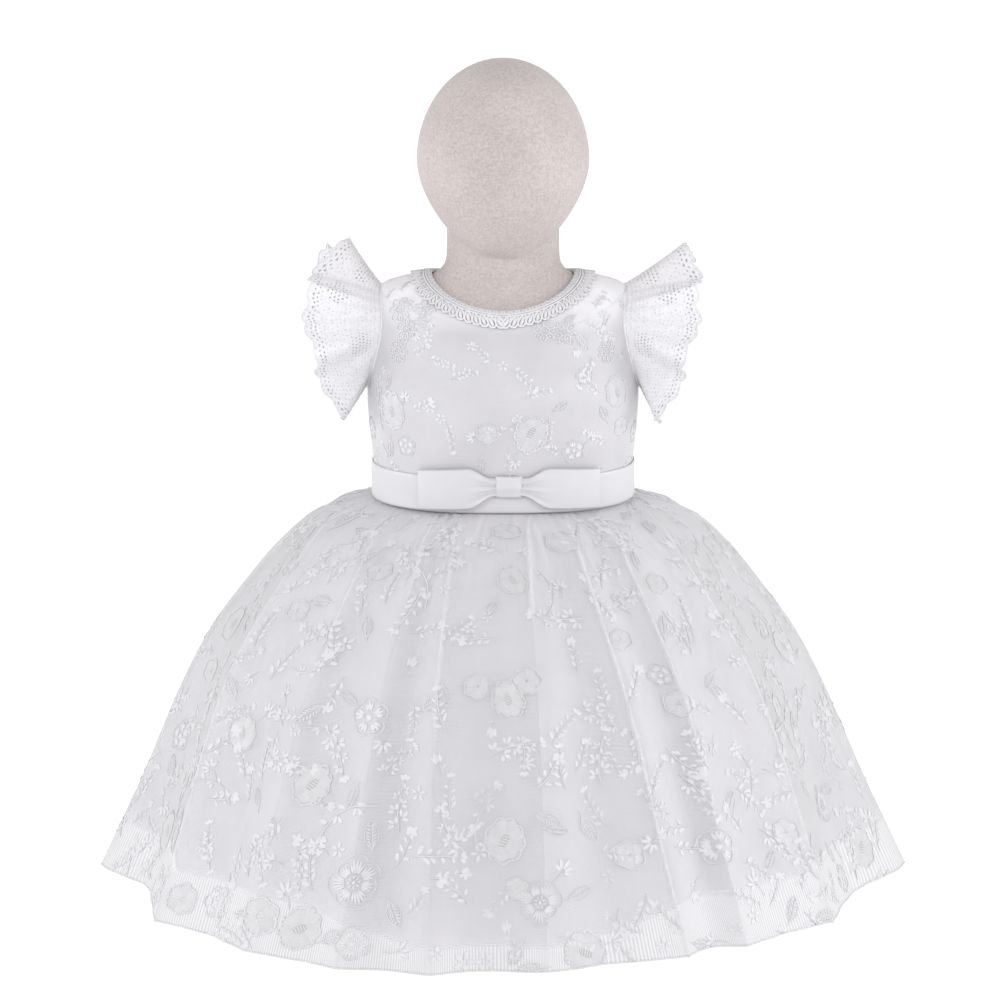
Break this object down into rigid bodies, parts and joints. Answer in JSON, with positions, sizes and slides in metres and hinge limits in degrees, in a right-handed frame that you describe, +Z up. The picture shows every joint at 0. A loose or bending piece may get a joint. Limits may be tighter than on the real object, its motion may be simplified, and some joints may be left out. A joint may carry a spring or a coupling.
{
  "type": "christening gown on a dress form",
  "caption": "Baby christening gown with a satin sash and bow, lace flutter sleeves and a full embroidered net skirt over a lining, filled out on a limbless dress form.",
  "frame": {"origin": "middle of the stand's flat underside, on the floor", "axes": "+Z up, -Y the gown's front, +X the wearer's left"},
  "size_m": [0.5972, 0.5244, 0.605],
  "materials": {
    "embroidered_net": "white net with white embroidery",
    "satin_lining": "dull white satin",
    "eyelet_lace": "white cotton lace",
    "gimp_braid": "white looped braid",
    "satin_ribbon": "white satin",
    "pearl_button": "pearl white",
    "linen_form": "pale linen over a hard body",
    "stand_metal": "satin white"
  },
  "bodies": {
    "root": {"bodice_front": "embroidered_net", "bodice_back_left": "embroidered_net", "bodice_back_right": "embroidered_net", "skirt_net_front": "embroidered_net", "skirt_net_back": "embroidered_net", "skirt_lining_front": "satin_lining", "skirt_lining_back": "satin_lining", "sleeve_left": "eyelet_lace", "sleeve_right": "eyelet_lace", "neck_braid": "gimp_braid", "sash": "satin_ribbon", "bow_wing_left": "satin_ribbon", "bow_wing_right": "satin_ribbon", "bow_knot": "satin_ribbon", "back_placket": "satin_ribbon", "back_button_1": "pearl_button", "back_button_2": "pearl_button", "back_button_3": "pearl_button", "dress_form": "linen_form", "stand_pole": "stand_metal", "stand_base": "stand_metal"}
  },
  "joints": []
}
